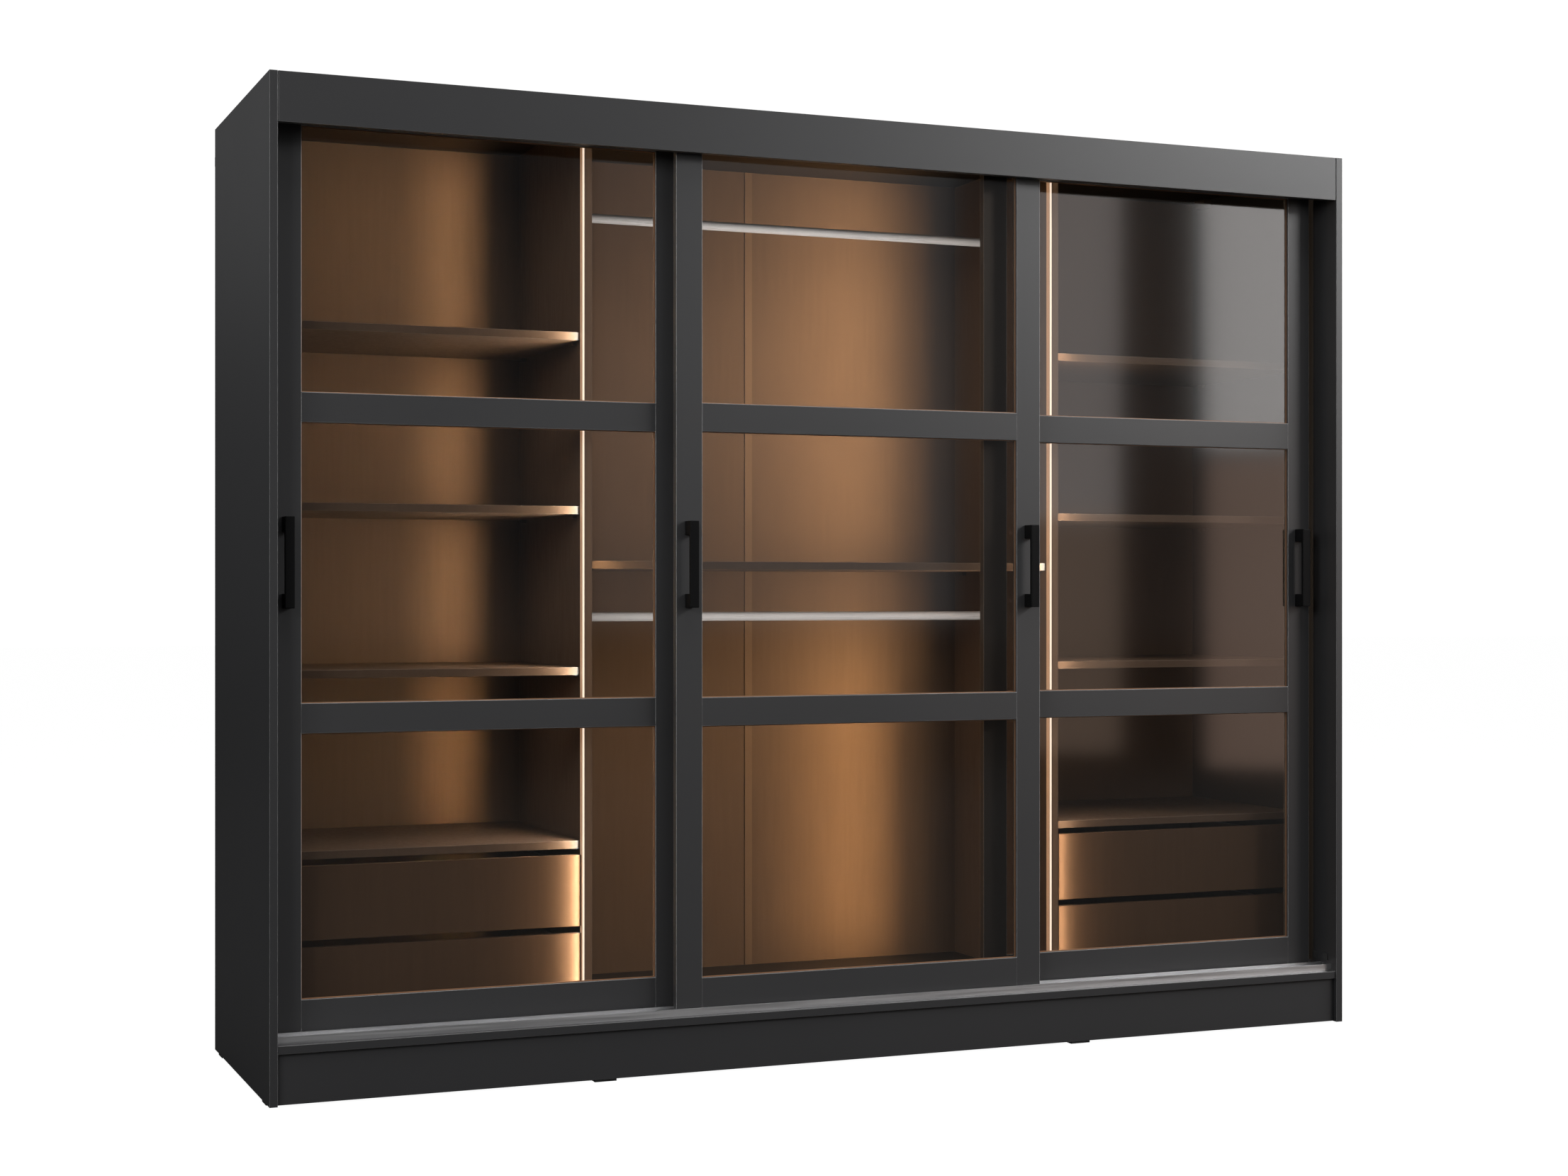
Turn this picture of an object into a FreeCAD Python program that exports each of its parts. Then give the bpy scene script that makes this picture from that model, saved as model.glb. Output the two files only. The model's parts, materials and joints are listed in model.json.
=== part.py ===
import FreeCAD, Part
import os
import Sketcher

# Three-door sliding wardrobe, in millimetres.
# Frame: X across the front (+X to the right hand of a person facing it), Y to the back, Z up.
# The origin is on the floor under the middle of the carcass.

V = FreeCAD.Vector
doc = FreeCAD.newDocument("sliding_wardrobe")

DIMENSIONS = {
    # carcass
    "width": 2500, "depth": 600, "height": 2000, "board": 16, "glide": 4,
    "fascia_height": 98, "fascia_setback": 1, "fascia_gap": 1.5,
    "plinth_height": 98, "plinth_setback": 10, "plinth_lift": 1, "plinth_gap": 2.5,
    "deck_level": 100.5, "deck_setback": 3,
    "back_thick": 12, "back_setback": 14, "joint_flange": 18, "joint_skin": 1.5, "joint_web": 2,
    "partition_offset": 558, "partition_setback": 120,
    # shelves, hanging rails and lighting
    "shelf_setback": 136, "shelf_rear_gap": 2, "side_shelf_one": 459, "side_shelf_two": 821,
    "side_shelf_three": 1157, "side_shelf_four": 1520, "centre_shelf": 1043.5,
    "support_width": 10, "support_depth": 18, "support_height": 8,
    "rail_radius": 10, "rail_bore": 8.5, "rail_back": 355, "upper_rail": 1815, "lower_rail": 940,
    "socket_radius": 16, "socket_thick": 8,
    "led_width": 4.6, "led_skin": 0.8, "led_depth": 16, "led_end_gap": 4,
    # doors
    "front_door": 30, "rear_door": 70, "door_width": 862, "door_height": 1847, "door_thick": 16,
    "door_base": 128, "left_door_start": 19, "centre_door_start": 853.5, "right_door_start": 1597.5,
    "stile": 58, "rail": 63.5, "crossbar": 59, "crossbar_offset": 306.5,
    "glass_inset": 7, "glass": 4, "glass_bite": 8, "groove": 5, "groove_depth": 9,
    "seal_width": 2, "seal_thick": 1.5,
    "handle_length": 180, "handle_width": 20, "handle_reach": 32, "handle_grip": 8, "handle_post": 29,
    "screw_radius": 2, "screw_bite": 10, "head_radius": 4, "head_height": 2.5,
    # tracks, rollers and guides
    "track_front": 20, "track_width": 76, "track_floor": 2.5, "lip_height": 14.5, "lip_thick": 3,
    "rib_height": 7.2, "rib_width": 3, "track_middle": 58, "top_track_front": 18, "top_track_width": 80,
    "fin_height": 29, "fin_thick": 2, "top_track_roof": 3,
    "wheel_radius": 12, "wheel_tread": 9.5, "wheel_width": 7, "wheel_bore": 2.55, "axle_radius": 2.5,
    "wheel_clearance": 0.3, "flange_tip": 0.8, "flange_root": 1.3,
    "carriage_inset": 120, "carriage_length": 60, "carriage_width": 12, "carriage_height": 41, "cheek": 1.5,
    "guide_length": 50, "guide_width": 35.2, "guide_height": 5,
    "buffer": 2.6, "buffer_height": 16, "buffer_lift": 20,
    # drawers
    "drawer_setback": 126, "drawer_front_height": 148, "drawer_pitch": 163, "lower_drawer": 135.5,
    "drawer_end_gap": 6, "drawer_depth": 420, "drawer_wall": 12, "drawer_wall_height": 110,
    "drawer_wall_lift": 14, "drawer_floor": 6, "runner_fixed": 9.5, "runner_gap": 0.5,
    "runner_moving": 2.7, "runner_height": 36, "runner_lift": 30,
    # feet and hidden parts
    "foot_width": 47, "foot_length": 52, "foot_front": 12, "foot_radius": 16, "foot_column": 46,
    "rear_foot_start": 514, "glide_length": 40, "glide_width": 14, "glide_inset": 40,
    "plinth_rear": 560, "driver_length": 160, "driver_depth": 45, "driver_height": 28,
    "block_length": 40, "block_size": 20, "bracket_skin": 2, "bracket_length": 50,
    "bracket_width": 20, "bracket_drop": 60, "bracket_hole": 2.6, "bracket_hole_inset": 36,
}

sheet = doc.addObject("Spreadsheet::Sheet", "dims")
for row, (alias, number) in enumerate(DIMENSIONS.items(), start=1):
    sheet.set("A%d" % row, alias)
    sheet.set("B%d" % row, str(number))
    sheet.setAlias("B%d" % row, alias)
doc.recompute()


class Size:
    """A length that carries both its value and the spreadsheet formula it comes from."""

    def __init__(self, value, formula):
        self.value = float(value)
        self.formula = formula

    def join(self, other, sign, value):
        return Size(value, "(%s %s %s)" % (self.formula, sign, other.formula))

    def __add__(self, other):
        other = size(other)
        return self.join(other, "+", self.value + other.value)

    def __sub__(self, other):
        other = size(other)
        return self.join(other, "-", self.value - other.value)

    def __mul__(self, other):
        other = size(other)
        return self.join(other, "*", self.value * other.value)

    def __truediv__(self, other):
        other = size(other)
        return self.join(other, "/", self.value / other.value)

    def __radd__(self, other):
        return size(other) + self

    def __rsub__(self, other):
        return size(other) - self

    def __rmul__(self, other):
        return size(other) * self

    def __neg__(self):
        return size(0) - self


def size(number):
    return number if isinstance(number, Size) else Size(number, "%g" % number)


class Cells:
    """The spreadsheet's cells by name."""

    def __getattr__(self, alias):
        return Size(DIMENSIONS[alias], "dims." + alias)


d = Cells()


def bind(obj, prop, length):
    obj.setExpression(prop, size(length).formula)


def place(obj, x, y, z):
    for axis, length in zip("xyz", (x, y, z)):
        bind(obj, "Placement.Base." + axis, length)


def box(label, x, y, z):
    """A box from its (start, end) along each axis."""
    obj = doc.addObject("Part::Box", label)
    obj.Label = label
    for prop, (start, end) in zip(("Length", "Width", "Height"), (x, y, z)):
        bind(obj, prop, size(end) - start)
    place(obj, x[0], y[0], z[0])
    return obj


AXES = {"X": FreeCAD.Rotation(V(0, 1, 0), 90), "Y": FreeCAD.Rotation(V(1, 0, 0), -90),
        "Z": FreeCAD.Rotation()}


def rod(label, axis, radius, length, x, y, z):
    """A cylinder that starts at a point and runs towards + along one axis."""
    obj = doc.addObject("Part::Cylinder", label)
    obj.Label = label
    obj.Placement = FreeCAD.Placement(V(), AXES[axis])
    bind(obj, "Radius", radius)
    bind(obj, "Height", length)
    place(obj, x, y, z)
    return obj


def group(label, members):
    """Separate solids that share one node."""
    obj = doc.addObject("Part::Compound", label)
    obj.Label = label
    obj.Links = members
    return obj


def fuse(label, members):
    obj = doc.addObject("Part::MultiFuse", label)
    obj.Label = label
    obj.Shapes = members
    return obj


def cut(label, base, tools):
    obj = doc.addObject("Part::Cut", label)
    obj.Label = label
    obj.Base = base
    obj.Tool = tools[0] if len(tools) == 1 else group(label + "_tools", tools)
    return obj


def polygon(body, plane, label, points):
    """A closed outline on one of the body's origin planes, every corner held by two dimensions."""
    sketch = body.newObject("Sketcher::SketchObject", label)
    support = [f for f in body.Origin.OriginFeatures if f.Role == plane][0]
    sketch.AttachmentSupport = [(support, "")]
    sketch.MapMode = "FlatFace"
    corners = [V(size(a).value, size(b).value, 0) for a, b in points]
    count = len(corners)
    for i in range(count):
        sketch.addGeometry(Part.LineSegment(corners[i], corners[(i + 1) % count]))
    for i in range(count):
        sketch.addConstraint(Sketcher.Constraint("Coincident", i, 2, (i + 1) % count, 1))
    for i, point in enumerate(points):
        for kind, axis, length in zip(("DistanceX", "DistanceY"), (-2, -1), point):
            length = size(length)
            if abs(length.value) < 1e-9:
                sketch.addConstraint(Sketcher.Constraint("PointOnObject", i, 1, axis))
                continue
            rule = sketch.addConstraint(Sketcher.Constraint(kind, -1, 1, i, 1, length.value))
            sketch.setExpression("Constraints[%d]" % rule, length.formula)
    return sketch


def extrusion(label, plane, points, length, x, y, z):
    """An outline carried along the axis that its plane faces."""
    body = doc.addObject("PartDesign::Body", label)
    body.Label = label
    outline = polygon(body, plane, label + "_outline", points)
    pad = body.newObject("PartDesign::Pad", label + "_pad")
    pad.Profile = outline
    bind(pad, "Length", length)
    body.Tip = pad
    place(body, x, y, z)
    return body


def turning(label, points, x, y, z):
    """An outline of (along, radius) corners turned about the Y axis."""
    body = doc.addObject("PartDesign::Body", label)
    body.Label = label
    outline = polygon(body, "YZ_Plane", label + "_outline", points)
    turn = body.newObject("PartDesign::Revolution", label + "_turn")
    turn.Profile = outline
    turn.ReferenceAxis = (outline, ["H_Axis"])
    turn.Angle = 360
    body.Tip = turn
    place(body, x, y, z)
    return body


def around(middle, length):
    """The (start, end) of a length centred on a point."""
    return middle - length / 2, middle + length / 2


def inward(edge, way, near, far):
    """The (start, end) of a stretch between two distances from an edge, way being +1 or -1."""
    ends = (edge + way * near, edge + way * far)
    return ends if way > 0 else ends[::-1]


def door_bar(label, x, y, z, grooves, bores=()):
    """One bar of a door's frame, with the grooves that hold the glass and any bores through it."""
    tools = [box("%s_groove_%d" % (label, i), *groove) for i, groove in enumerate(grooves)]
    return cut(label, box(label + "_blank", x, y, z), tools + list(bores))


# Planes and levels that the pieces share.
left = -d.width / 2
right = d.width / 2
front = -d.depth / 2
back = d.depth / 2
base = d.glide
top = base + d.height
inner_left = left + d.board
inner_right = right - d.board
deck = base + d.deck_level + d.board
ceiling = top - d.board
back_face = back - d.back_setback - d.back_thick
partition_front = front + d.partition_setback
partitions_x = {"left": -d.partition_offset, "right": d.partition_offset}
sections = {
    "left": (inner_left, -d.partition_offset - d.board / 2),
    "centre": (d.board / 2 - d.partition_offset, d.partition_offset - d.board / 2),
    "right": (d.partition_offset + d.board / 2, inner_right),
}
nodes = []


def keep(obj):
    nodes.append(obj)
    return obj


# Carcass boards.
keep(box("side_panel_left", (left, inner_left), (front, back), (base, top)))
keep(box("side_panel_right", (inner_right, right), (front, back), (base, top)))
fascia_back = front + d.fascia_setback + d.board
keep(box("top_panel", (inner_left, inner_right), (fascia_back, back - d.back_setback), (ceiling, top)))
keep(box("bottom_panel", (inner_left, inner_right),
         (front + d.deck_setback, back - d.back_setback), (deck - d.board, deck)))
keep(group("partitions", [
    box("partition_" + side, around(x, d.board), (partition_front, back_face), (deck, ceiling))
    for side, x in partitions_x.items()]))
back_range = (back_face, back_face + d.back_thick)
keep(group("back_panels", [
    box("back_panel_left", (inner_left, -d.joint_web / 2), back_range, (deck, ceiling)),
    box("back_panel_right", (d.joint_web / 2, inner_right), back_range, (deck, ceiling))]))
web_start = (d.joint_flange - d.joint_web) / 2
web_end = web_start + d.joint_web
strip_depth = d.joint_skin + d.back_thick
keep(extrusion("back_joint_strip", "XY_Plane", [
    (0, 0), (d.joint_flange, 0), (d.joint_flange, d.joint_skin), (web_end, d.joint_skin),
    (web_end, strip_depth), (web_start, strip_depth), (web_start, d.joint_skin), (0, d.joint_skin)],
    ceiling - deck, -d.joint_flange / 2, back_face - d.joint_skin, deck))
keep(box("fascia_board", (inner_left + d.fascia_gap, inner_right - d.fascia_gap),
         (front + d.fascia_setback, fascia_back), (top - d.fascia_height, top)))
plinth_x = (inner_left + d.plinth_gap, inner_right - d.plinth_gap)
plinth_z = (base + d.plinth_lift, base + d.plinth_lift + d.plinth_height)
keep(group("plinth_boards", [
    box("plinth_" + row, plinth_x, (front + start, front + start + d.board), plinth_z)
    for row, start in (("front", d.plinth_setback), ("rear", d.plinth_rear))]))

# What the wardrobe stands on: four feet under the partitions and four glides under the sides.
supports = []
for side, x in partitions_x.items():
    for row, start, column in (("front", d.foot_front, d.foot_column),
                               ("rear", d.rear_foot_start, d.rear_foot_start + d.foot_length / 2)):
        name = "foot_%s_%s" % (side, row)
        pad = box(name + "_pad", around(x, d.foot_width),
                  (front + start, front + start + d.foot_length), (0, base + d.plinth_lift))
        leg = rod(name + "_leg", "Z", d.foot_radius, deck - d.board - base - d.plinth_lift,
                  x, front + column, base + d.plinth_lift)
        supports.append(fuse(name, [pad, leg]))
for side, middle in (("left", left + d.board / 2), ("right", right - d.board / 2)):
    for row, start in (("front", front + d.glide_inset),
                       ("rear", back - d.glide_inset - d.glide_length)):
        supports.append(box("glide_%s_%s" % (side, row), around(middle, d.glide_width),
                            (start, start + d.glide_length), (0, base)))
keep(group("feet", supports))

# Shelves, each on four support blocks.
shelf_y = (front + d.shelf_setback, back_face - d.shelf_rear_gap)
side_levels = (d.side_shelf_one, d.side_shelf_two, d.side_shelf_three, d.side_shelf_four)
shelf_places = [("left", level) for level in side_levels]
shelf_places += [("right", level) for level in side_levels]
shelf_places.append(("centre", d.centre_shelf))
boards = {"left": [], "right": [], "centre": []}
blocks = []
for number, (section, level) in enumerate(shelf_places, start=1):
    start, end = sections[section]
    under = base + level
    boards[section].append(box("shelf_%d" % number, (start, end), shelf_y, (under, under + d.board)))
    for side, block_x in (("a", (start, start + d.support_width)), ("b", (end - d.support_width, end))):
        for row, block_y in (("front", shelf_y[0] + 2 * d.support_depth),
                             ("rear", shelf_y[1] - 3 * d.support_depth)):
            blocks.append(box("support_%d_%s_%s" % (number, side, row), block_x,
                              (block_y, block_y + d.support_depth), (under - d.support_height, under)))
keep(group("shelves_left", boards["left"]))
keep(group("shelves_right", boards["right"]))
shelf_centre = boards["centre"][0]
shelf_centre.Label = "shelf_centre"
keep(shelf_centre)
keep(group("shelf_supports", blocks))

# Two hanging rails across the middle section, held in round sockets.
rail_start, rail_end = sections["centre"]
rails = []
sockets = []
for name, level in (("upper", d.upper_rail), ("lower", d.lower_rail)):
    y = front + d.rail_back
    z = base + level
    tube = rod("rail_%s_tube" % name, "X", d.rail_radius, rail_end - rail_start, rail_start, y, z)
    bore = rod("rail_%s_bore" % name, "X", d.rail_bore, rail_end - rail_start, rail_start, y, z)
    rails.append(cut("rail_%s" % name, tube, [bore]))
    for side, x in (("left", rail_start), ("right", rail_end - d.socket_thick)):
        label = "socket_%s_%s" % (name, side)
        disc = rod(label + "_disc", "X", d.socket_radius, d.socket_thick, x, y, z)
        hole = rod(label + "_hole", "X", d.rail_radius, d.socket_thick, x, y, z)
        sockets.append(cut(label, disc, [hole]))
keep(group("hanging_rails", rails))
keep(group("rail_sockets", sockets))

# Lighting: a profile and a diffuser on the left face of each partition, and one driver below.
profiles = []
diffusers = []
light_y = (partition_front, partition_front + d.led_depth)
light_z = (deck + d.led_end_gap, ceiling - d.led_end_gap)
for side, x in partitions_x.items():
    face = x - d.board / 2
    profiles.append(box("profile_" + side, (face - d.led_skin, face), light_y, light_z))
    diffusers.append(box("diffuser_" + side, (face - d.led_width, face - d.led_skin), light_y, light_z))
keep(group("led_profiles", profiles))
keep(group("led_diffusers", diffusers))
keep(box("led_driver", around(size(0), d.driver_length), around(size(0), d.driver_depth),
         (deck - d.board - d.driver_height, deck - d.board)))

# Blocks that join the side panels to the top and bottom panels.
corners = []
for side, block_x in (("left", (inner_left, inner_left + d.block_size)),
                      ("right", (inner_right - d.block_size, inner_right))):
    for row, y in (("front", partition_front - d.block_size), ("rear", back_face - 2 * d.block_length)):
        for level, z in (("low", deck - d.board - d.block_size), ("high", ceiling - d.block_size)):
            corners.append(box("corner_%s_%s_%s" % (side, row, level), block_x,
                               (y, y + d.block_length), (z, z + d.block_size)))
keep(group("corner_blocks", corners))

# Plates that tie the side panels to a wall, each with its hole inboard of the panel.
plates = []
for side, x, hole_x in (("left", left, left + d.bracket_hole_inset),
                        ("right", right - d.bracket_length, right - d.bracket_hole_inset)):
    upper = top - d.bracket_drop
    plate = box("plate_" + side, (x, x + d.bracket_length), (back, back + d.bracket_skin),
                (upper - d.bracket_width, upper))
    hole = rod("plate_%s_hole" % side, "Y", d.bracket_hole, d.bracket_skin,
               hole_x, back, upper - d.bracket_width / 2)
    plates.append(cut("wall_bracket_" + side, plate, [hole]))
keep(group("wall_brackets", plates))

# Bottom track: a floor, three lips and two ribs for the wheels, in one extrusion.
lip = d.lip_thick
floor = d.track_floor
track_span = inner_right - inner_left
front_rib = d.front_door + d.door_thick / 2 - d.track_front
rear_rib = d.rear_door + d.door_thick / 2 - d.track_front
middle_lip = d.track_middle - d.track_front
outline = [(0, 0), (d.track_width, 0), (d.track_width, d.lip_height),
           (d.track_width - lip, d.lip_height), (d.track_width - lip, floor)]
for rib, wall in ((rear_rib, middle_lip), (front_rib, None)):
    outline += [(rib + d.rib_width / 2, floor), (rib + d.rib_width / 2, d.rib_height),
                (rib - d.rib_width / 2, d.rib_height), (rib - d.rib_width / 2, floor)]
    if wall:
        outline += [(wall + lip / 2, floor), (wall + lip / 2, d.lip_height),
                    (wall - lip / 2, d.lip_height), (wall - lip / 2, floor)]
outline += [(lip, floor), (lip, d.lip_height), (0, d.lip_height)]
keep(extrusion("bottom_track", "YZ_Plane", outline, track_span, inner_left, front + d.track_front, deck))

# Top track: a roof and three fins, so that each row of doors has its own channel.
fin = d.fin_thick
roof = d.fin_height - d.top_track_roof
middle_fin = (d.top_track_width - 2 * fin) / 2
keep(extrusion("top_track", "YZ_Plane", [
    (0, 0), (fin, 0), (fin, roof), (middle_fin, roof), (middle_fin, 0), (middle_fin + 2 * fin, 0),
    (middle_fin + 2 * fin, roof), (d.top_track_width - fin, roof), (d.top_track_width - fin, 0),
    (d.top_track_width, 0), (d.top_track_width, d.fin_height), (0, d.fin_height)],
    track_span, inner_left, front + d.top_track_front, ceiling - d.fin_height))

# Rubber buffers at the ends of both rows.
buffers = []
for row, face in (("front", d.front_door), ("rear", d.rear_door)):
    for side, x in (("left", inner_left), ("right", inner_right - d.buffer)):
        buffers.append(box("buffer_%s_%s" % (row, side), (x, x + d.buffer),
                           (front + face + 1, front + face + d.door_thick - 1),
                           (deck + d.buffer_lift, deck + d.buffer_lift + d.buffer_height)))
keep(group("track_buffers", buffers))

# Doors. Each is a frame of six bars round three panes, on two wheels that run on a rib.
door_z = (base + d.door_base, base + d.door_base + d.door_height)
door_middle = (door_z[0] + door_z[1]) / 2
bar_levels = [door_z[0] + d.rail]
for offset in (-d.crossbar_offset, d.crossbar_offset):
    bar_levels += list(around(door_middle + offset, d.crossbar))
bar_levels.append(door_z[1] - d.rail)
pane_levels = list(zip(bar_levels[0::2], bar_levels[1::2]))
crossbar_levels = list(zip(bar_levels[1::2], bar_levels[2::2]))
wheel_level = deck + d.rib_height + d.wheel_clearance + d.wheel_tread
doors = {
    "left": (left + d.left_door_start, front + d.rear_door, ("left",)),
    "centre": (left + d.centre_door_start, front + d.front_door, ("left", "right")),
    "right": (left + d.right_door_start, front + d.rear_door, ("right",)),
}
for name, (start, face, handle_sides) in doors.items():
    end = start + d.door_width
    depth = (face, face + d.door_thick)
    open_x = (start + d.stile, end - d.stile)
    middle_y = face + d.door_thick / 2
    groove_y = (face + d.glass_inset - (d.groove - d.glass) / 2,
                face + d.glass_inset + (d.groove + d.glass) / 2)
    stile_middles = {"left": start + d.stile / 2, "right": end - d.stile / 2}
    screw_levels = [door_middle + way * (d.handle_length - d.handle_post) / 2 for way in (-1, 1)]
    prefix = "door_%s_" % name

    bars = []
    groove_z = (bar_levels[0] - d.groove_depth, bar_levels[-1] + d.groove_depth)
    for side, x, groove_x in (("left", (start, open_x[0]), (open_x[0] - d.groove_depth, open_x[0])),
                              ("right", (open_x[1], end), (open_x[1], open_x[1] + d.groove_depth))):
        holes = []
        if side in handle_sides:
            holes = [rod(prefix + "hole_%s_%d" % (side, i), "Y", d.screw_radius, d.door_thick,
                         stile_middles[side], face, z) for i, z in enumerate(screw_levels)]
        bars.append(door_bar(prefix + "stile_" + side, x, depth, door_z,
                             [(groove_x, groove_y, groove_z)], holes))
    carriage_x = [start + d.carriage_inset, end - d.carriage_inset]
    slots = [box(prefix + "slot_%d" % i, around(x, d.carriage_length), around(middle_y, d.carriage_width),
                 (door_z[0], door_z[0] + d.carriage_height)) for i, x in enumerate(carriage_x)]
    bars.append(door_bar(prefix + "bottom_rail", open_x, depth, (door_z[0], bar_levels[0]),
                         [(open_x, groove_y, (bar_levels[0] - d.groove_depth, bar_levels[0]))], slots))
    bars.append(door_bar(prefix + "top_rail", open_x, depth, (bar_levels[-1], door_z[1]),
                         [(open_x, groove_y, (bar_levels[-1], bar_levels[-1] + d.groove_depth))]))
    for i, (low, high) in enumerate(crossbar_levels):
        bars.append(door_bar("%scrossbar_%d" % (prefix, i), open_x, depth, (low, high),
                             [(open_x, groove_y, (low, low + d.groove_depth)),
                              (open_x, groove_y, (high - d.groove_depth, high))]))
    keep(group(prefix + "frame", bars))

    glass_y = (face + d.glass_inset, face + d.glass_inset + d.glass)
    keep(group(prefix + "glass", [
        box(prefix + "pane_%d" % i, (open_x[0] - d.glass_bite, open_x[1] + d.glass_bite), glass_y,
            (low - d.glass_bite, high + d.glass_bite)) for i, (low, high) in enumerate(pane_levels)]))
    seal_y = (glass_y[0] - d.seal_thick, glass_y[0])
    seals = []
    for i, (low, high) in enumerate(pane_levels):
        label = prefix + "seal_%d" % i
        inner = box(label + "_inner", (open_x[0] + d.seal_width, open_x[1] - d.seal_width), seal_y,
                    (low + d.seal_width, high - d.seal_width))
        seals.append(cut(label, box(label + "_outer", open_x, seal_y, (low, high)), [inner]))
    keep(group(prefix + "seals", seals))

    # Bar handles, each with two screws from behind.
    handles = []
    screws = []
    far_post = d.handle_length - d.handle_post
    for side in handle_sides:
        x = stile_middles[side]
        blank = extrusion(prefix + "handle_%s_blank" % side, "YZ_Plane", [
            (0, 0), (d.handle_reach, 0), (d.handle_reach, d.handle_post), (d.handle_grip, d.handle_post),
            (d.handle_grip, far_post), (d.handle_reach, far_post), (d.handle_reach, d.handle_length),
            (0, d.handle_length)],
            d.handle_width, x - d.handle_width / 2, face - d.handle_reach,
            door_middle - d.handle_length / 2)
        holes = []
        for i, z in enumerate(screw_levels):
            label = prefix + "screw_%s_%d" % (side, i)
            holes.append(rod(label + "_hole", "Y", d.screw_radius, d.screw_bite, x, face - d.screw_bite, z))
            shank = rod(label + "_shank", "Y", d.screw_radius, d.screw_bite + d.door_thick,
                        x, face - d.screw_bite, z)
            head = rod(label + "_head", "Y", d.head_radius, d.head_height, x, depth[1], z)
            screws.append(fuse(label, [shank, head]))
        handles.append(cut(prefix + "handle_" + side, blank, holes))
    keep(group(prefix + "handles", handles))
    keep(group(prefix + "screws", screws))

    # Wheel carriages in slots of the bottom rail, and guides on the top rail.
    carriages = []
    cheek_z = (door_z[0] + d.seal_thick, door_z[0] + d.carriage_height)
    carriage_y = around(middle_y, d.carriage_width)
    for i, x in enumerate(carriage_x):
        label = prefix + "carriage_%d" % i
        span = around(x, d.carriage_length)
        carriages.append(fuse(label, [
            box(label + "_front_cheek", span, (carriage_y[0], carriage_y[0] + d.cheek), cheek_z),
            box(label + "_rear_cheek", span, (carriage_y[1] - d.cheek, carriage_y[1]), cheek_z),
            box(label + "_bridge", span, carriage_y, (cheek_z[1] - 2 * d.cheek, cheek_z[1])),
            rod(label + "_axle", "Y", d.axle_radius, d.carriage_width, x, carriage_y[0], wheel_level)]))
        keep(turning(prefix + ("wheel_left", "wheel_right")[i], [
            (0, d.wheel_bore), (d.wheel_width, d.wheel_bore), (d.wheel_width, d.wheel_radius),
            (d.wheel_width - d.flange_tip, d.wheel_radius),
            (d.wheel_width - d.flange_root, d.wheel_tread),
            (d.flange_root, d.wheel_tread), (d.flange_tip, d.wheel_radius), (0, d.wheel_radius)],
            x, middle_y - d.wheel_width / 2, wheel_level))
    keep(group(prefix + "carriages", carriages))
    keep(group(prefix + "guides", [
        box(prefix + "guide_%d" % i, around(x, d.guide_length), around(middle_y, d.guide_width),
            (door_z[1], door_z[1] + d.guide_height)) for i, x in enumerate(carriage_x)]))

# Drawers, two in each side section, on side-mounted runners.
fixed_runners = []
for section in ("left", "right"):
    start, end = sections[section]
    for row, step in (("lower", 0), ("upper", 1)):
        prefix = "drawer_%s_%s_" % (section, row)
        low = base + d.lower_drawer + step * d.drawer_pitch
        face = front + d.drawer_setback
        inside = face + d.board
        rear = inside + d.drawer_depth
        keep(box(prefix + "front", (start + d.drawer_end_gap, end - d.drawer_end_gap), (face, inside),
                 (low, low + d.drawer_front_height)))
        runner_z = (low + d.runner_lift, low + d.runner_lift + d.runner_height)
        moving = d.runner_fixed + d.runner_gap
        wall = moving + d.runner_moving
        floor_z = low + d.drawer_wall_lift
        wall_z = (floor_z, floor_z + d.drawer_wall_height)
        between = (start + wall + d.drawer_wall, end - wall - d.drawer_wall)
        pieces = [
            box(prefix + "floor", between, (inside, rear), (floor_z, floor_z + d.drawer_floor)),
            box(prefix + "back", between, (rear - d.drawer_wall, rear),
                (floor_z + d.drawer_floor, wall_z[1]))]
        for side, way, edge in (("a", 1, start), ("b", -1, end)):
            pieces.append(box(prefix + "wall_" + side, inward(edge, way, wall, wall + d.drawer_wall),
                              (inside, rear), wall_z))
            pieces.append(box(prefix + "slide_" + side, inward(edge, way, moving, wall),
                              (inside, rear), runner_z))
            fixed_runners.append(box(prefix + "runner_" + side, inward(edge, way, size(0), d.runner_fixed),
                                     (inside + d.runner_gap, rear), runner_z))
        keep(group(prefix + "box", pieces))
keep(group("drawer_runners", fixed_runners))

doc.recompute()
os.makedirs("parts", exist_ok=True)
for obj in doc.Objects:
    if "Invalid" in obj.State or "Error" in obj.State:
        raise RuntimeError("%s failed: %s" % (obj.Label, obj.State))
for obj in nodes:
    if obj.Shape.isNull() or not obj.Shape.isValid() or not obj.Shape.Solids:
        raise RuntimeError("%s has no valid solid" % obj.Label)
for obj in nodes:
    obj.Shape.exportStep("parts/%s.step" % obj.Label)
print("%d nodes, %d solids" % (len(nodes), sum(len(obj.Shape.Solids) for obj in nodes)))
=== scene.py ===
import json
import math

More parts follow.
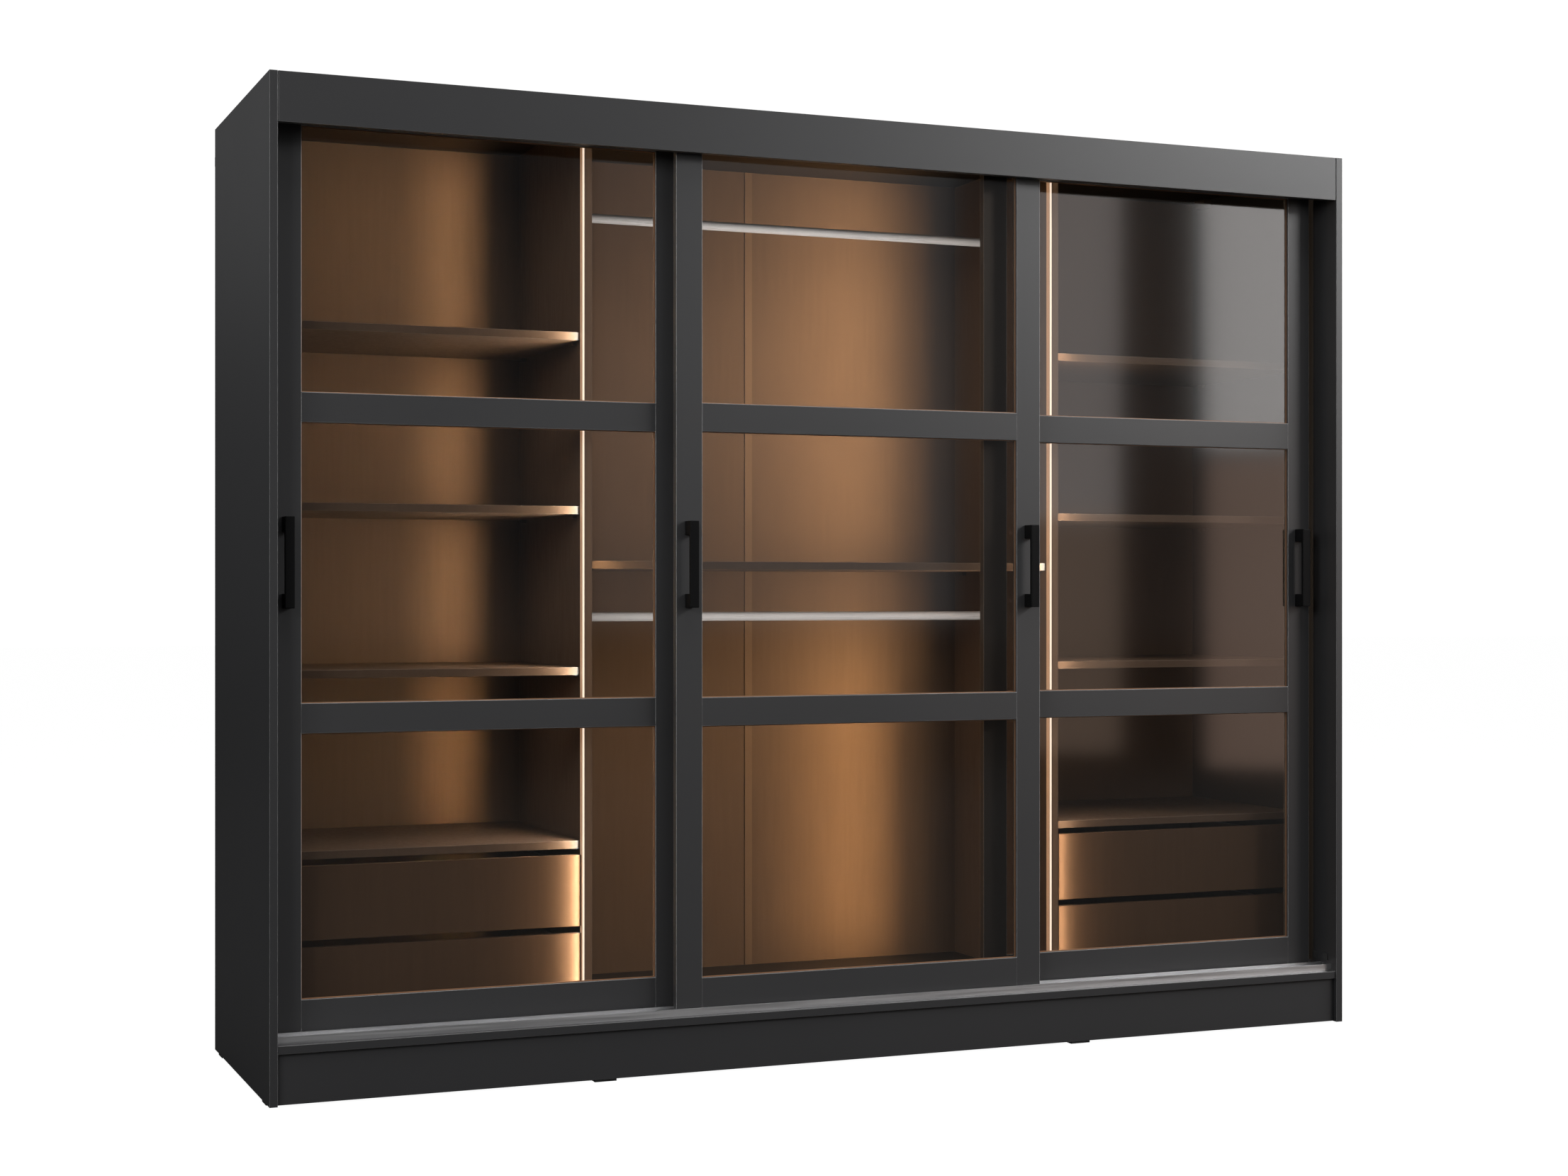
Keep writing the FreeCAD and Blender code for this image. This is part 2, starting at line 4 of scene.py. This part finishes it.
import bmesh
import bpy
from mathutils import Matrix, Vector


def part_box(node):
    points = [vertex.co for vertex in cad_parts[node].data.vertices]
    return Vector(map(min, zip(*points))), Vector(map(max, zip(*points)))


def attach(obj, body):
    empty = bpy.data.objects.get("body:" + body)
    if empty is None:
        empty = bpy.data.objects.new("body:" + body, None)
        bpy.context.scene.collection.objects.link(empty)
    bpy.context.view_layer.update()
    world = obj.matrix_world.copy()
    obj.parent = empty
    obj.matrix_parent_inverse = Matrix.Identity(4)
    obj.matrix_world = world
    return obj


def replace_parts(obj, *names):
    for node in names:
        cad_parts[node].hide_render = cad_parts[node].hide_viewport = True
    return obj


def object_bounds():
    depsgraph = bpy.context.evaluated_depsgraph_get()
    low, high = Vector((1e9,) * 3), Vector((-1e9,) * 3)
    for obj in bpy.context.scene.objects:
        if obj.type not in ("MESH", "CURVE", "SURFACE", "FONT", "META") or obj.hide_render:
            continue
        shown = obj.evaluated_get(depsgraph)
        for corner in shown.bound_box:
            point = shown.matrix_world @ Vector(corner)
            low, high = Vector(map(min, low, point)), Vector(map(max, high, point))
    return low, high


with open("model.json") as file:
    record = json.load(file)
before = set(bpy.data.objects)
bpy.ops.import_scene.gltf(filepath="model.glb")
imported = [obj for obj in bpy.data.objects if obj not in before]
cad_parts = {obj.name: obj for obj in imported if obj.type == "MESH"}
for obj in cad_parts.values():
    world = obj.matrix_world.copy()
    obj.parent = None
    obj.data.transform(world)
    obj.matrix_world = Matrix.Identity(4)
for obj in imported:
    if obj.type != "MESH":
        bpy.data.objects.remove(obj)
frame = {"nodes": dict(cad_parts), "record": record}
cad_low, cad_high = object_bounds()
scene = bpy.context.scene
scene.view_settings.view_transform = "Standard"

WHITE = (1, 1, 1)

# ---------------------------------------------------------------- camera
# Level, a metre up, to the left of the front and turned a little to the right, as in the photo.
CAMERA_PLACE = (-2.1068, -4.6115, 0.9905)
CAMERA_TURN = 20.683
CAMERA_SENSOR = 36
CAMERA_LENS = 51.71
CAMERA_SHIFT = (0.0892, 0.0049)
cam_data = bpy.data.cameras.new("camera")
cam_data.sensor_width = CAMERA_SENSOR
cam_data.lens = CAMERA_LENS
cam_data.shift_x, cam_data.shift_y = CAMERA_SHIFT
camera = bpy.data.objects.new("camera", cam_data)
camera.location = CAMERA_PLACE
camera.rotation_euler = (math.radians(90), 0, math.radians(-CAMERA_TURN))
scene.collection.objects.link(camera)
scene.camera = camera


# ---------------------------------------------------------------- material tools
# The sockets of a Mix node set to colours, which go by number: two colours in, one out.
FIRST_COLOR = 6
SECOND_COLOR = 7
MIXED_COLOR = 2
# Nearly all of a noise lies between these two values.
NOISE_LOW = 0.3
NOISE_HIGH = 0.7
# How far the rounded normal agrees with the face's own where the painted edge highlight starts, and where it
# is full.
HIGHLIGHT_START = 0.97
HIGHLIGHT_FULL = 0.80
# A pane's two skins together mirror not quite twice as much as one.
BOTH_SKINS = 1.9
DIFFUSER_GLOW = 1.3


class Surface:
    """A node material round one Principled shader, with short ways to add its detail."""

    def __init__(self, name, color, roughness, metallic=0.0, specular=0.5):
        self.material = bpy.data.materials.new(name)
        self.material.use_nodes = True
        self.nodes = self.material.node_tree.nodes
        self.links = self.material.node_tree.links
        self.nodes.clear()
        self.output = self.add("ShaderNodeOutputMaterial")
        self.shader = self.add("ShaderNodeBsdfPrincipled")
        self.shader.inputs["Base Color"].default_value = (*color, 1)
        self.shader.inputs["Roughness"].default_value = roughness
        self.shader.inputs["Metallic"].default_value = metallic
        self.shader.inputs["Specular IOR Level"].default_value = specular
        self.link(self.shader, "BSDF", self.output, "Surface")
        self.color = color

    def add(self, kind, **settings):
        """A new node, with each setting put on the socket or the property of that name."""
        node = self.nodes.new(kind)
        for key, value in settings.items():
            if key in node.inputs:
                node.inputs[key].default_value = value
            else:
                setattr(node, key, value)
        return node

    def link(self, source, output, target, socket):
        self.links.new(source.outputs[output], target.inputs[socket])

    def space(self, scale=(1, 1, 1)):
        """Object coordinates stretched by a factor along each axis."""
        coords = self.add("ShaderNodeTexCoord")
        mapping = self.add("ShaderNodeMapping")
        mapping.inputs["Scale"].default_value = scale
        self.link(coords, "Object", mapping, "Vector")
        return mapping

    def noise(self, scale, stretch=(1, 1, 1), detail=3.0, rough=0.5):
        node = self.add("ShaderNodeTexNoise", Scale=scale, Detail=detail, Roughness=rough)
        self.link(self.space(stretch), "Vector", node, "Vector")
        return node

    def remap(self, source, output, start, end, low=0.0, high=1.0):
        """A node's value, with the stretch from start to end drawn out to run from low to high."""
        span = self.add("ShaderNodeMapRange")
        span.inputs["From Min"].default_value = start
        span.inputs["From Max"].default_value = end
        span.inputs["To Min"].default_value = low
        span.inputs["To Max"].default_value = high
        self.link(source, output, span, "Value")
        return span

    def blend(self, factor, output, first, second):
        """A mix of two colours by another node's value."""
        mix = self.add("ShaderNodeMix", data_type="RGBA")
        mix.inputs[FIRST_COLOR].default_value = (*first, 1)
        mix.inputs[SECOND_COLOR].default_value = (*second, 1)
        self.link(factor, output, mix, "Factor")
        return mix

    def vary_color(self, noise, dark, light):
        """The base colour darkened and lightened by two factors along a noise."""
        ramp = self.blend(noise, "Fac", [c * dark for c in self.color], [c * light for c in self.color])
        self.link(ramp, MIXED_COLOR, self.shader, "Base Color")

    def vary_roughness(self, noise, low, high):
        span = self.remap(noise, "Fac", NOISE_LOW, NOISE_HIGH, low, high)
        self.link(span, "Result", self.shader, "Roughness")

    def relief(self, noise, depth, edge):
        """Fine bumps from a noise, over edges rounded by a small radius."""
        bump = self.add("ShaderNodeBump", Strength=1.0, Distance=depth)
        self.link(noise, "Fac", bump, "Height")
        self.rounded = self.add("ShaderNodeBevel", samples=4, Radius=edge)
        self.link(self.rounded, "Normal", bump, "Normal")
        self.link(bump, "Normal", self.shader, "Normal")

    def paint_edge_highlights(self, light):
        """A painted highlight along the edges: where the rounded normal leaves the face's own, the colour
        lightens as if the edges caught the light.
        """
        face = self.add("ShaderNodeNewGeometry")
        along = self.add("ShaderNodeVectorMath", operation="DOT_PRODUCT")
        self.link(self.rounded, "Normal", along, 0)
        self.link(face, "True Normal", along, 1)
        mask = self.remap(along, "Value", HIGHLIGHT_START, HIGHLIGHT_FULL)
        painted_highlight = self.blend(mask, "Result", self.color, (light, light, light))
        base = self.shader.inputs["Base Color"]
        self.links.new(base.links[0].from_socket, painted_highlight.inputs[FIRST_COLOR])
        self.link(painted_highlight, MIXED_COLOR, self.shader, "Base Color")


def board(name, color, roughness, edge, specular=0.5, painted_highlight=0.0):
    """Matt laminate on board: an even colour with a faint cloud and a fine pore."""
    look = Surface(name, color, roughness, specular=specular)
    look.vary_color(look.noise(3.5, detail=4.0), dark=0.96, light=1.04)
    look.vary_roughness(look.noise(1.3, detail=5.0), roughness - 0.015, roughness + 0.02)
    look.relief(look.noise(900.0, detail=2.0), depth=0.00004, edge=edge)
    # Edges painted paler, as a highlight where they would catch the light.
    if painted_highlight:
        look.paint_edge_highlights(painted_highlight)
    return look.material


def wood_board(name, color, roughness, painted_highlight=0.0):
    """Dark laminate with a faint upright grain."""
    look = Surface(name, color, roughness, specular=0.2)
    look.vary_color(look.noise(6.0, (14, 14, 0.9), detail=6.0, rough=0.6), dark=0.82, light=1.16)
    look.vary_roughness(look.noise(40.0, (3, 3, 0.4)), roughness - 0.05, roughness + 0.06)
    look.relief(look.noise(160.0, (6, 6, 0.5)), depth=0.00001, edge=0.001)
    # Edges painted paler, as a highlight where they would catch the light.
    if painted_highlight:
        look.paint_edge_highlights(painted_highlight)
    return look.material


def metal(name, color, roughness, grain=(1, 1, 1), metallic=1.0):
    """Drawn or plated metal with fine lines along its length."""
    look = Surface(name, color, roughness, metallic=metallic)
    look.vary_roughness(look.noise(220.0, grain, detail=4.0), roughness - 0.06, roughness + 0.08)
    look.relief(look.noise(500.0, grain, detail=2.0), depth=0.00001, edge=0.0004)
    return look.material


def plastic(name, color, roughness):
    """Moulded plastic or rubber with a fine spark texture."""
    look = Surface(name, color, roughness)
    look.vary_color(look.noise(20.0), dark=0.93, light=1.07)
    look.relief(look.noise(700.0), depth=0.00003, edge=0.0005)
    return look.material


def glass(name, tint, gloss):
    """A tinted pane: its film darkens what is behind it, and its skin mirrors by angle."""
    look = Surface(name, tint, gloss)
    look.nodes.remove(look.shader)
    through = look.add("ShaderNodeBsdfTransparent")
    through.inputs["Color"].default_value = (*tint, 1)
    mirror = look.add("ShaderNodeBsdfGlossy", Roughness=gloss)
    mirror.inputs["Color"].default_value = (0.9, 0.9, 0.9, 1)
    angle = look.add("ShaderNodeFresnel", IOR=1.5)
    # The skin that is met first mirrors for both, and the far one, met from inside, doesn't mirror.
    side = look.add("ShaderNodeNewGeometry")
    outer = look.remap(side, "Backfacing", start=0, end=1, low=BOTH_SKINS, high=0)
    share = look.add("ShaderNodeMath", operation="MULTIPLY", use_clamp=True)
    look.link(angle, "Fac", share, 0)
    look.link(outer, "Result", share, 1)
    mix = look.add("ShaderNodeMixShader")
    look.link(share, "Value", mix, "Fac")
    look.link(through, "BSDF", mix, 1)
    look.link(mirror, "BSDF", mix, 2)
    look.link(mix, "Shader", look.output, "Surface")
    return look.material


def light_diffuser(name, bright_y, dim_y):
    """Lit opal plastic: brightest on its front, weaker down the side that runs back along the board."""
    look = Surface(name, (0.75, 0.68, 0.6), 0.45)
    look.vary_roughness(look.noise(300.0, detail=2.0), 0.4, 0.5)
    depth = look.add("ShaderNodeSeparateXYZ")
    look.link(look.space(), "Vector", depth, "Vector")
    fade = look.remap(depth, "Y", bright_y, dim_y)
    glow = look.blend(fade, "Result", (1.0, 0.90, 0.82), (0.30, 0.17, 0.10))
    look.link(glow, MIXED_COLOR, look.shader, "Emission Color")
    look.shader.inputs["Emission Strength"].default_value = DIFFUSER_GLOW
    return look.material


# ---------------------------------------------------------------- surfaces
BLACK = (0.019, 0.019, 0.020)
BROWN = (0.105, 0.079, 0.062)
STEEL = (0.5, 0.5, 0.52)
DARK_PLASTIC = (0.03, 0.03, 0.03)
# The grain of a piece drawn along X.
ALONG_X = (0.02, 1, 1)
# A diffuser's glow is full on its front, and fades between these two distances behind it.
low_end, high_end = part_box("led_diffusers")
diffuser_front = low_end.y
FADE_START = 0.0005
FADE_END = 0.0025
# One look for each material slot of the record. The number after a colour is its roughness, and the last
# number of some boards is the lightness of a highlight painted along their edges.
surfaces = {
    "outer_board": board("outer_board", BLACK, 0.42, edge=0.0016, painted_highlight=0.24),
    "inner_board": wood_board("inner_board", BROWN, 0.5, painted_highlight=0.4),
    "drawer_front": wood_board("drawer_front", (0.090, 0.060, 0.040), 0.5),
    "drawer_box": wood_board("drawer_box", (0.16, 0.13, 0.10), 0.5),
    "door_frame": board("door_frame", (0.026, 0.026, 0.027), 0.38, edge=0.002, painted_highlight=0.42),
    "tinted_glass": glass("tinted_glass", (0.80, 0.765, 0.73), 0.07),
    "seal": plastic("seal", (0.20, 0.10, 0.05), 0.4),
    "handle": board("handle", (0.0035, 0.0035, 0.0037), 0.42, edge=0.0006, specular=0.08),
    "screw": metal("screw", (0.55, 0.55, 0.57), 0.3),
    "carriage": metal("carriage", STEEL, 0.35),
    "guide": plastic("guide", (0.02, 0.02, 0.02), 0.4),
    "wheel": plastic("wheel", (0.6, 0.6, 0.57), 0.35),
    "joint_strip": plastic("joint_strip", (0.14, 0.105, 0.08), 0.4),
    "foot": plastic("foot", (0.006, 0.006, 0.006), 0.5),
    "block": plastic("block", (0.05, 0.04, 0.03), 0.5),
    "rail": metal("rail", (0.66, 0.68, 0.71), 0.3, grain=ALONG_X, metallic=0.25),
    "socket": plastic("socket", DARK_PLASTIC, 0.4),
    "led_profile": metal("led_profile", (0.5, 0.5, 0.5), 0.35),
    "led_diffuser": light_diffuser("led_diffuser", diffuser_front + FADE_START, diffuser_front + FADE_END),
    "driver": plastic("driver", DARK_PLASTIC, 0.5),
    "bracket": metal("bracket", (0.05, 0.05, 0.05), 0.4),
    "track": metal("track", (0.72, 0.72, 0.73), 0.36, grain=ALONG_X),
    "buffer": plastic("buffer", (0.012, 0.012, 0.012), 0.7),
    "runner": metal("runner", STEEL, 0.3),
}
slot_of = {part["node"]: part["material_slot"] for part in frame["record"]["subparts"]}
for node, obj in frame["nodes"].items():
    for slot in obj.material_slots:
        slot.material = surfaces[slot_of[node]]

# ---------------------------------------------------------------- handles
# The width of a handle, how thick its grip is, how tall each of its posts is, and how soft its edges are.
HANDLE = {"width": 0.020, "grip": 0.008, "post": 0.029, "edge": 0.0016}


def handle(node, body, middle_x):
    """A bar handle with softened edges, a slim grip between two posts."""
    low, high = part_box(node)
    front, back = low.y, high.y
    grip = front + HANDLE["grip"]
    bottom, top = low.z, high.z
    lower_post, upper_post = bottom + HANDLE["post"], top - HANDLE["post"]
    outline = [(front, bottom), (back, bottom), (back, lower_post), (grip, lower_post),
               (grip, upper_post), (back, upper_post), (back, top), (front, top)]
    mesh = bmesh.new()
    sides = [[mesh.verts.new((middle_x + way * HANDLE["width"] / 2, y, z)) for y, z in outline]
             for way in (-1, 1)]
    mesh.faces.new(sides[0])
    mesh.faces.new(reversed(sides[1]))
    count = len(outline)
    for i in range(count):
        j = (i + 1) % count
        mesh.faces.new((sides[0][j], sides[0][i], sides[1][i], sides[1][j]))
    bmesh.ops.recalc_face_normals(mesh, faces=mesh.faces)
    data = bpy.data.meshes.new(node)
    mesh.to_mesh(data)
    mesh.free()
    side = "left" if middle_x < (low.x + high.x) / 2 else "right"
    piece = bpy.data.objects.new("%s_%s" % (node, side), data)
    scene.collection.objects.link(piece)
    data.materials.append(surfaces["handle"])
    bevel = piece.modifiers.new("edges", "BEVEL")
    bevel.width = HANDLE["edge"]
    bevel.segments = 3
    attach(piece, body)
    return piece


# The centre door has a handle near each side, and the other two have one each.
for body in ("door_left", "door_centre", "door_right"):
    node = body + "_handles"
    low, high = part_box(node)
    half = HANDLE["width"] / 2
    middles = [low.x + half]
    if high.x - low.x > 2 * HANDLE["width"]:
        middles.append(high.x - half)
    for middle_x in middles:
        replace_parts(handle(node, body, middle_x), node)

# ---------------------------------------------------------------- floor
# Only the camera sees this floor as white as the photo's. It is dark in mirrors and throws little light back.
REACH = 40
FLOOR_GREY = (0.05, 0.05, 0.05)
FLOOR_GLOW = 0.97
floor_mesh = bpy.data.meshes.new("floor")
corners = [(-REACH, -REACH, 0), (REACH, -REACH, 0), (REACH, REACH, 0), (-REACH, REACH, 0)]
floor_mesh.from_pydata(corners, [], [(0, 1, 2, 3)])
floor = bpy.data.objects.new("floor", floor_mesh)
scene.collection.objects.link(floor)
floor_look = Surface("floor", FLOOR_GREY, 0.8, specular=0.0)
seen_floor = floor_look.add("ShaderNodeLightPath")
glow = floor_look.add("ShaderNodeMath", operation="MULTIPLY")
glow.inputs[1].default_value = FLOOR_GLOW
floor_look.link(seen_floor, "Is Camera Ray", glow, 0)
floor_look.link(glow, "Value", floor_look.shader, "Emission Strength")
floor_look.shader.inputs["Emission Color"].default_value = (*WHITE, 1)
floor_mesh.materials.append(floor_look.material)

# ---------------------------------------------------------------- room
# The camera sees white behind the wardrobe, and everything else is lit by a dim, cool room.
WORLD_SEEN = 1.05
ROOM_GLOW = 0.07
ROOM_COLOR = (0.95, 0.97, 1.0)
world = bpy.data.worlds.new("studio")
scene.world = world
world.use_nodes = True
tree = world.node_tree
tree.nodes.clear()
out = tree.nodes.new("ShaderNodeOutputWorld")
seen = tree.nodes.new("ShaderNodeBackground")
seen.inputs["Color"].default_value = (*WHITE, 1)
seen.inputs["Strength"].default_value = WORLD_SEEN
room = tree.nodes.new("ShaderNodeBackground")
room.inputs["Color"].default_value = (*ROOM_COLOR, 1)
room.inputs["Strength"].default_value = ROOM_GLOW
path = tree.nodes.new("ShaderNodeLightPath")
choose = tree.nodes.new("ShaderNodeMixShader")
tree.links.new(path.outputs["Is Camera Ray"], choose.inputs["Fac"])
tree.links.new(room.outputs["Background"], choose.inputs[1])
tree.links.new(seen.outputs["Background"], choose.inputs[2])
tree.links.new(choose.outputs["Shader"], out.inputs["Surface"])


# ---------------------------------------------------------------- studio lights
def area_light(name, place, facing, up, width, height, power, color):
    """A rectangle of light that faces along a vector and that the camera doesn't see."""
    data = bpy.data.lights.new(name, "AREA")
    data.shape = "RECTANGLE"
    data.size = width
    data.size_y = height
    data.energy = power
    data.color = color
    light = bpy.data.objects.new(name, data)
    light.location = place
    light.rotation_euler = facing.to_track_quat("-Z", up).to_euler()
    light.visible_camera = False
    scene.collection.objects.link(light)
    return light


# Each panel's name, place, the point it looks at, width, height, watts and colour.
COOL = (0.9, 0.95, 1.0)
PANELS = (
    # Far to the right, for the right door's mirror images: whiter above, warmer below, with a gap between.
    ("key_near", (4.30, -6.3, 2.7), (0.5, 0, 1.4), 0.5, 2.6, 5.2, (1.0, 0.91, 0.88)),
    ("key_far", (5.75, -5.9, 2.6), (0.9, 0, 1.4), 1.5, 1.6, 23, (1.0, 0.96, 0.94)),
    ("key_low", (5.65, -5.9, 0.9), (0.9, 0, 0.9), 1.3, 1.7, 8, (1.0, 0.68, 0.53)),
    ("key_top", (6.4, -5.1, 4.6), (0.9, 0, 1.6), 3.4, 2.0, 440, WHITE),
    ("key_near_low", (4.30, -6.3, 0.8), (0.5, 0, 0.8), 0.5, 1.3, 1.5, (1.0, 0.72, 0.55)),
    # Mirrored by the centre door as a faint haze, stronger where the two overlap.
    ("haze_wide", (2.6, -6.4, 2.6), (2.6, 0, 2.6), 2.0, 3.5, 5.5, COOL),
    ("haze_slim", (2.3, -6.4, 2.6), (2.3, 0, 2.6), 1.4, 3.5, 4.0, COOL),
    # Plain light on the right side, the left side, the back and the top.
    ("sheen", (7.5, -2.6, 3.4), (0.6, -0.3, 1.2), 2.0, 3.0, 160, WHITE),
    ("fill", (-5.0, -4.0, 3.0), (-1.0, 0, 1.4), 3.0, 2.4, 240, WHITE),
    ("rear_left", (-4.5, 6.0, 3.6), (-1.25, 0, 1.4), 3.0, 2.4, 9, WHITE),
    ("rear", (2.0, 7.0, 1.7), (0, 0.3, 1.0), 4.0, 2.4, 240, WHITE),
    ("overhead", (0, -1.0, 6.0), (0, 0, 0), 5, 4, 150, WHITE),
)
for name, place, aim, width, height, power, color in PANELS:
    panel = area_light(name, place, Vector(aim) - Vector(place), "Y", width, height, power, color)
    # The rear panel lights the back without a glare on the sides and the top.
    panel.visible_glossy = name != "rear"

# A wide, soft sun from above, tilted to come a little from the front.
DAY_POWER = 1.5
DAY_SIZE = math.radians(40)
DAY_TILT = math.radians(14)
day = bpy.data.lights.new("day", "SUN")
day.energy = DAY_POWER
day.angle = DAY_SIZE
day_light = bpy.data.objects.new("day", day)
day_light.rotation_euler = (DAY_TILT, 0, 0)
day_light.visible_glossy = False
scene.collection.objects.link(day_light)

# ---------------------------------------------------------------- the strips' own light
# In the renders, thin lights beside the diffusers and in front of the boards throw the strips' light.
WARM = (1.0, 0.67, 0.35)
GOLD = (1.0, 0.61, 0.26)
EMBER = (1.0, 0.77, 0.55)
PALE = (0.5, 0.88, 1.1)
DIFFUSER_WIDTH = 0.0038
BOARD_WIDTH = 0.016
# How far the lights stand from a diffuser's left face, and from the two boards' right faces.
CLEAR_OF_DIFFUSER = 0.004
CLEAR_OF_LEFT_BOARD = 0.006
CLEAR_OF_RIGHT_BOARD = 0.004
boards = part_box("partitions")
left_face, centre_face = low_end.x, high_end.x - DIFFUSER_WIDTH
left_board, right_board = boards[0].x, boards[1].x - BOARD_WIDTH
FULL_HEIGHT = (low_end.z, high_end.z)
# How far each kind of light lies behind the diffusers' front, or before it where negative.
BEAM_DEPTH = 0.022
LIP_DEPTH = 0.010
WASH_DEPTH = -0.004
GRAZE_RIGHT_DEPTH = -0.006
RAIL_LIGHT_DEPTH = -0.015
GRAZE_MIDDLE_DEPTH = -0.016
EDGE_DEPTH = -0.025
BOUNCE_DEPTH = 0.08
LEFTWARD = -1
RIGHTWARD = 1
STRIP_WIDTH = 0.008


def strip_light(name, x, depth, way, power, turn=90, spread=180, color=WARM, span=FULL_HEIGHT,
                width=STRIP_WIDTH):
    """An upright strip of light between two heights, turned by an angle from the back (+Y) to one side."""
    angle = math.radians(turn)
    facing = Vector((way * math.sin(angle), math.cos(angle), 0))
    place = (x, diffuser_front + depth, sum(span) / 2)
    light = area_light(name, place, facing, "X", span[1] - span[0], width, power, color)
    light.data.spread = math.radians(spread)
    light.visible_glossy = False
    return light


# Beams back into the left and the centre section, stronger above the waist and more golden below it: each
# one's name, diffuser face, turn and spread in degrees, and watts above and below.
WAIST = 0.80
BEAMS = (
    ("left_broad", left_face, 45, 80, 2.6, 0.6),
    ("left_core", left_face, 20, 26, 0.9, 0.5),
    ("centre_broad", centre_face, 45, 80, 6.4, 1.35),
    ("centre_core", centre_face, 34, 36, 1.0, 1.5),
)
warm_strips = []
for name, face, turn, spread, power_above, power_below in BEAMS:
    x = face - CLEAR_OF_DIFFUSER
    warm_strips.append(strip_light(name + "_high", x, BEAM_DEPTH, LEFTWARD, power_above, turn, spread,
                                   WARM, (WAIST, high_end.z)))
    warm_strips.append(strip_light(name + "_low", x, BEAM_DEPTH, LEFTWARD, power_below, turn, spread,
                                   GOLD, (low_end.z, WAIST)))

# A wash along the fronts of the drawers and shelves, and a pale lip beside each diffuser.
for name, face in (("left", left_face), ("centre", centre_face)):
    x = face - CLEAR_OF_DIFFUSER
    warm_strips.append(strip_light("wash_" + name, x, WASH_DEPTH, LEFTWARD, power=11, color=EMBER))
    warm_strips.append(strip_light("lip_" + name, x, LIP_DEPTH, LEFTWARD, power=2.4, color=PALE))

# A little light on the boards' front edges, and a graze to the right of each board along the fronts there.
for name, board_x in (("left", left_board), ("right", right_board)):
    strip_light("edge_" + name, board_x + BOARD_WIDTH / 2, EDGE_DEPTH, RIGHTWARD, power=0.14, turn=0,
                spread=100, color=EMBER)
x = right_board + BOARD_WIDTH + CLEAR_OF_RIGHT_BOARD
strip_light("graze_right", x, GRAZE_RIGHT_DEPTH, RIGHTWARD, power=5, color=EMBER)
x = left_board + BOARD_WIDTH + CLEAR_OF_LEFT_BOARD
warm_strips.append(strip_light("graze_middle", x, GRAZE_MIDDLE_DEPTH, RIGHTWARD, power=4, turn=78))

# What the lit boards throw back on to the left face of the left partition.
BOUNCE_CLEAR_OF_SIDE = 0.05
x = cad_low.x + BOUNCE_CLEAR_OF_SIDE
strip_light("bounce_left", x, BOUNCE_DEPTH, RIGHTWARD, power=0.35, spread=150)

# The rails look silver in the photo, so the warm strips don't light them. Two white lights, one above the
# centre shelf and one below it, light nothing else: each one's name, middle height and watts.
RAIL_LIGHTS = (("rail_light_high", 1.45, 9), ("rail_light_low", 0.86, 3))
RAIL_LIGHT_HEIGHT = 0.3
RAIL_LIGHT_WIDTH = 1.0
rails = frame["nodes"]["hanging_rails"]
only_rails = bpy.data.collections.new("only_rails")
only_rails.objects.link(rails)
no_rails = bpy.data.collections.new("no_rails")
no_rails.objects.link(rails)
no_rails.collection_objects[0].light_linking.link_state = "EXCLUDE"
for strip in warm_strips:
    strip.light_linking.receiver_collection = no_rails
for name, middle_z, power in RAIL_LIGHTS:
    span = (middle_z - RAIL_LIGHT_HEIGHT / 2, middle_z + RAIL_LIGHT_HEIGHT / 2)
    white = strip_light(name, 0, RAIL_LIGHT_DEPTH, RIGHTWARD, power, turn=0, color=WHITE, span=span,
                        width=RAIL_LIGHT_WIDTH)
    white.light_linking.receiver_collection = only_rails
